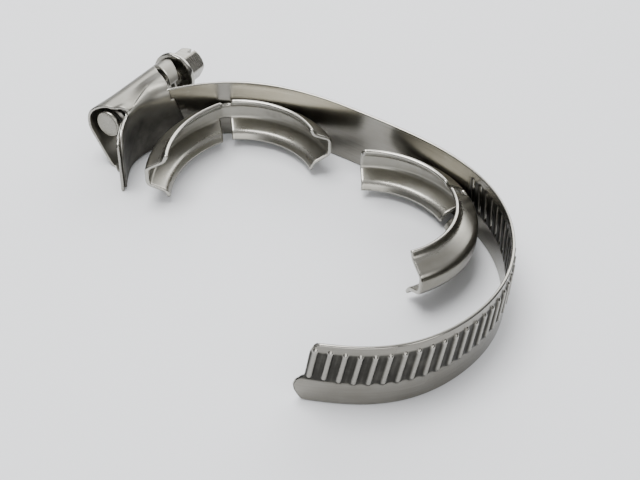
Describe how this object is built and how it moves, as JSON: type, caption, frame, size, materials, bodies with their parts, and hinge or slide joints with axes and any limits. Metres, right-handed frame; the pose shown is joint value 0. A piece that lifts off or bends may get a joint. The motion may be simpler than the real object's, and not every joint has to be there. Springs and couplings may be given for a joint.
{
  "type": "worm-drive v-retainer band clamp",
  "caption": "Open stainless band clamp with V-section retainer halves, a threaded tail and a worm screw in a folded housing.",
  "frame": {"origin": "centre of the bounding box in plan, on the plane the clamp stands on", "axes": "+Z across the band, parallel to the pipe axis; +Y the long way of the open clamp, towards the screw head"},
  "size_m": [0.1016, 0.1148, 0.0171],
  "materials": {
    "band_steel": "bright rolled stainless strip, fine marks along its length",
    "retainer_steel": "drawn stainless sheet, satin, polished by the forming rolls",
    "housing_steel": "folded stainless sheet, satin",
    "screw_steel": "turned and plated steel screw"
  },
  "bodies": {
    "anchor": {"band_fixed_end": "band_steel", "retainer_left": "retainer_steel", "screw_housing": "housing_steel"},
    "screw": {"worm_screw": "screw_steel"},
    "flex_1": {"band_flex_1": "band_steel"},
    "flex_2": {"band_flex_2": "band_steel"},
    "right_half": {"band_right_section": "band_steel", "retainer_right": "retainer_steel"},
    "tail_1": {"band_tail_1": "band_steel"},
    "tail_2": {"band_tail_2": "band_steel"},
    "tail_3": {"band_tail_3": "band_steel"},
    "tail_4": {"band_tail_4": "band_steel"},
    "tail_5": {"band_tail_end": "band_steel"}
  },
  "joints": [
    {"name": "band_close_1", "type": "hinge", "parent": "anchor", "child": "flex_1", "pos_m": [0.00416, 0.03273, 0.00794], "axis": [0, 0, -1], "range_deg": [-5, 17], "stiffness_Nm_per_rad": 0.4},
    {"name": "band_close_2", "type": "hinge", "parent": "flex_1", "child": "flex_2", "pos_m": [0.01655, 0.02566, 0.00794], "axis": [0, 0, -1], "range_deg": [-5, 17]},
    {"name": "band_close_3", "type": "hinge", "parent": "flex_2", "child": "right_half", "pos_m": [0.02823, 0.01744, 0.00794], "axis": [0, 0, -1], "range_deg": [-5, 17]},
    {"name": "tail_curl_1", "type": "hinge", "parent": "right_half", "child": "tail_1", "pos_m": [0.04358, 0.00176, 0.00794], "axis": [0, 0, -1], "range_deg": [-1.75, 5.9]},
    {"name": "tail_curl_2", "type": "hinge", "parent": "tail_1", "child": "tail_2", "pos_m": [0.04954, -0.01401, 0.00794], "axis": [0, 0, -1], "range_deg": [-1.75, 5.9]},
    {"name": "tail_curl_3", "type": "hinge", "parent": "tail_2", "child": "tail_3", "pos_m": [0.04826, -0.03082, 0.00794], "axis": [0, 0, -1], "range_deg": [-1.75, 5.9]},
    {"name": "tail_curl_4", "type": "hinge", "parent": "tail_3", "child": "tail_4", "pos_m": [0.03993, -0.04545, 0.00794], "axis": [0, 0, -1], "range_deg": [-1.75, 5.9]},
    {"name": "tail_curl_5", "type": "hinge", "parent": "tail_4", "child": "tail_5", "pos_m": [0.02605, -0.05493, 0.00794], "axis": [0, 0, -1], "range_deg": [-1.75, 5.9]},
    {"name": "screw_turn", "type": "hinge", "parent": "anchor", "child": "screw", "pos_m": [-0.03909, 0.03516, 0.0104], "axis": [0.454, 0.891, 0], "continuous": true}
  ],
  "couplings": [
    {"joint": "band_close_2", "follows": "band_close_1", "ratio": 1},
    {"joint": "band_close_3", "follows": "band_close_1", "ratio": 1},
    {"joint": "tail_curl_1", "follows": "band_close_1", "ratio": 0.345},
    {"joint": "tail_curl_2", "follows": "band_close_1", "ratio": 0.345},
    {"joint": "tail_curl_3", "follows": "band_close_1", "ratio": 0.345},
    {"joint": "tail_curl_4", "follows": "band_close_1", "ratio": 0.345},
    {"joint": "tail_curl_5", "follows": "band_close_1", "ratio": 0.345}
  ]
}
